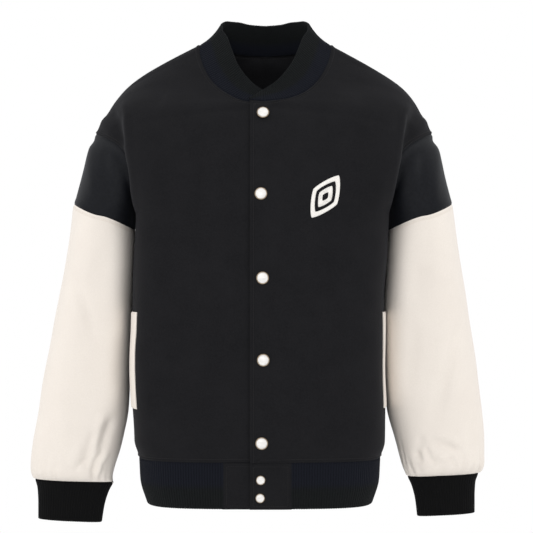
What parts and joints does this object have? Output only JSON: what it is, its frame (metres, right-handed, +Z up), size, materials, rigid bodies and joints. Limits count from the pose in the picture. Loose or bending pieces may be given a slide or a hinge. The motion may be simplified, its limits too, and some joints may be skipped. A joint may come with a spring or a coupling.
{
  "type": "varsity jacket",
  "caption": "Snap-front varsity jacket with dropped shoulders, dark body, cream sleeves and ribbed collar, cuffs and hem, filled out with no wearer.",
  "frame": {"origin": "middle of the neck opening at the height of the shoulder seams' inner ends, where the wearer's neck and shoulders hold the jacket up", "axes": "+Z up, -Y the jacket's front, +X the wearer's left"},
  "size_m": [0.6784, 0.2991, 0.7522],
  "materials": {
    "melton": "matt felted wool, near black",
    "upper_sleeve_cloth": "smooth navy-black cloth with a faint sheen",
    "cream_sleeve_cloth": "smooth cream cloth",
    "navy_rib": "doubled rib knit, black-green with a navy tint beside its seam",
    "black_rib": "doubled black rib knit",
    "cream_welt": "smooth cream cloth",
    "pearl_cap": "pearl-white gloss",
    "snap_metal": "dull bronze-toned metal"
  },
  "bodies": {
    "root": {"front_left": "melton", "front_right": "melton", "back_panel": "melton", "sleeve_top_right": "upper_sleeve_cloth", "sleeve_right": "cream_sleeve_cloth", "sleeve_top_left": "upper_sleeve_cloth", "sleeve_left": "cream_sleeve_cloth", "hem_rib": "navy_rib", "hem_tab_left": "melton", "hem_tab_right": "melton", "cuff_right": "black_rib", "cuff_left": "black_rib", "collar": "navy_rib", "pocket_welt_left": "cream_welt", "pocket_welt_right": "cream_welt", "snap_1": "pearl_cap", "snap_1_rim": "snap_metal", "snap_2": "pearl_cap", "snap_2_rim": "snap_metal", "snap_3": "pearl_cap", "snap_3_rim": "snap_metal", "snap_4": "pearl_cap", "snap_4_rim": "snap_metal", "snap_5": "pearl_cap", "snap_5_rim": "snap_metal", "hem_snap_1": "pearl_cap", "hem_snap_1_rim": "snap_metal", "hem_snap_2": "pearl_cap", "hem_snap_2_rim": "snap_metal"}
  },
  "joints": []
}
